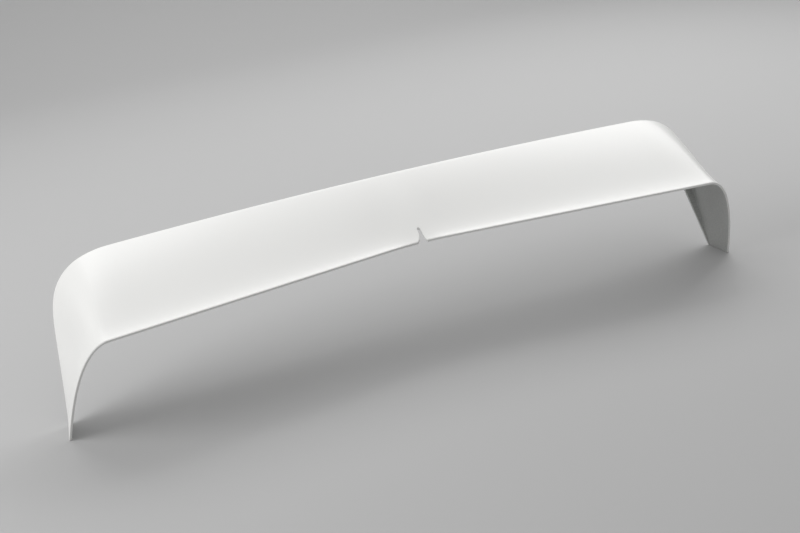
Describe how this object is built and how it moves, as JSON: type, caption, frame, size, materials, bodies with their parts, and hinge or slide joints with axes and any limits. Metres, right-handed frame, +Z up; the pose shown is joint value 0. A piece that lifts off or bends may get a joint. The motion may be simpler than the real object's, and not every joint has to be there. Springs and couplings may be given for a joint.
{
  "type": "rear spoiler",
  "caption": "White moulded rear spoiler for a car tail: a concave blade between rounded shoulders and tapering legs, open behind, with a notched front edge.",
  "frame": {"origin": "on the plane of the two feet, below the middle of the overall box", "axes": "+X to the car's right, +Y to the car's tail, +Z up"},
  "size_m": [1.3, 0.2211, 0.2707],
  "materials": {
    "gelcoat": "white gelcoat, gloss outside"
  },
  "bodies": {
    "root": {"spoiler_shell": "gelcoat"}
  },
  "joints": []
}
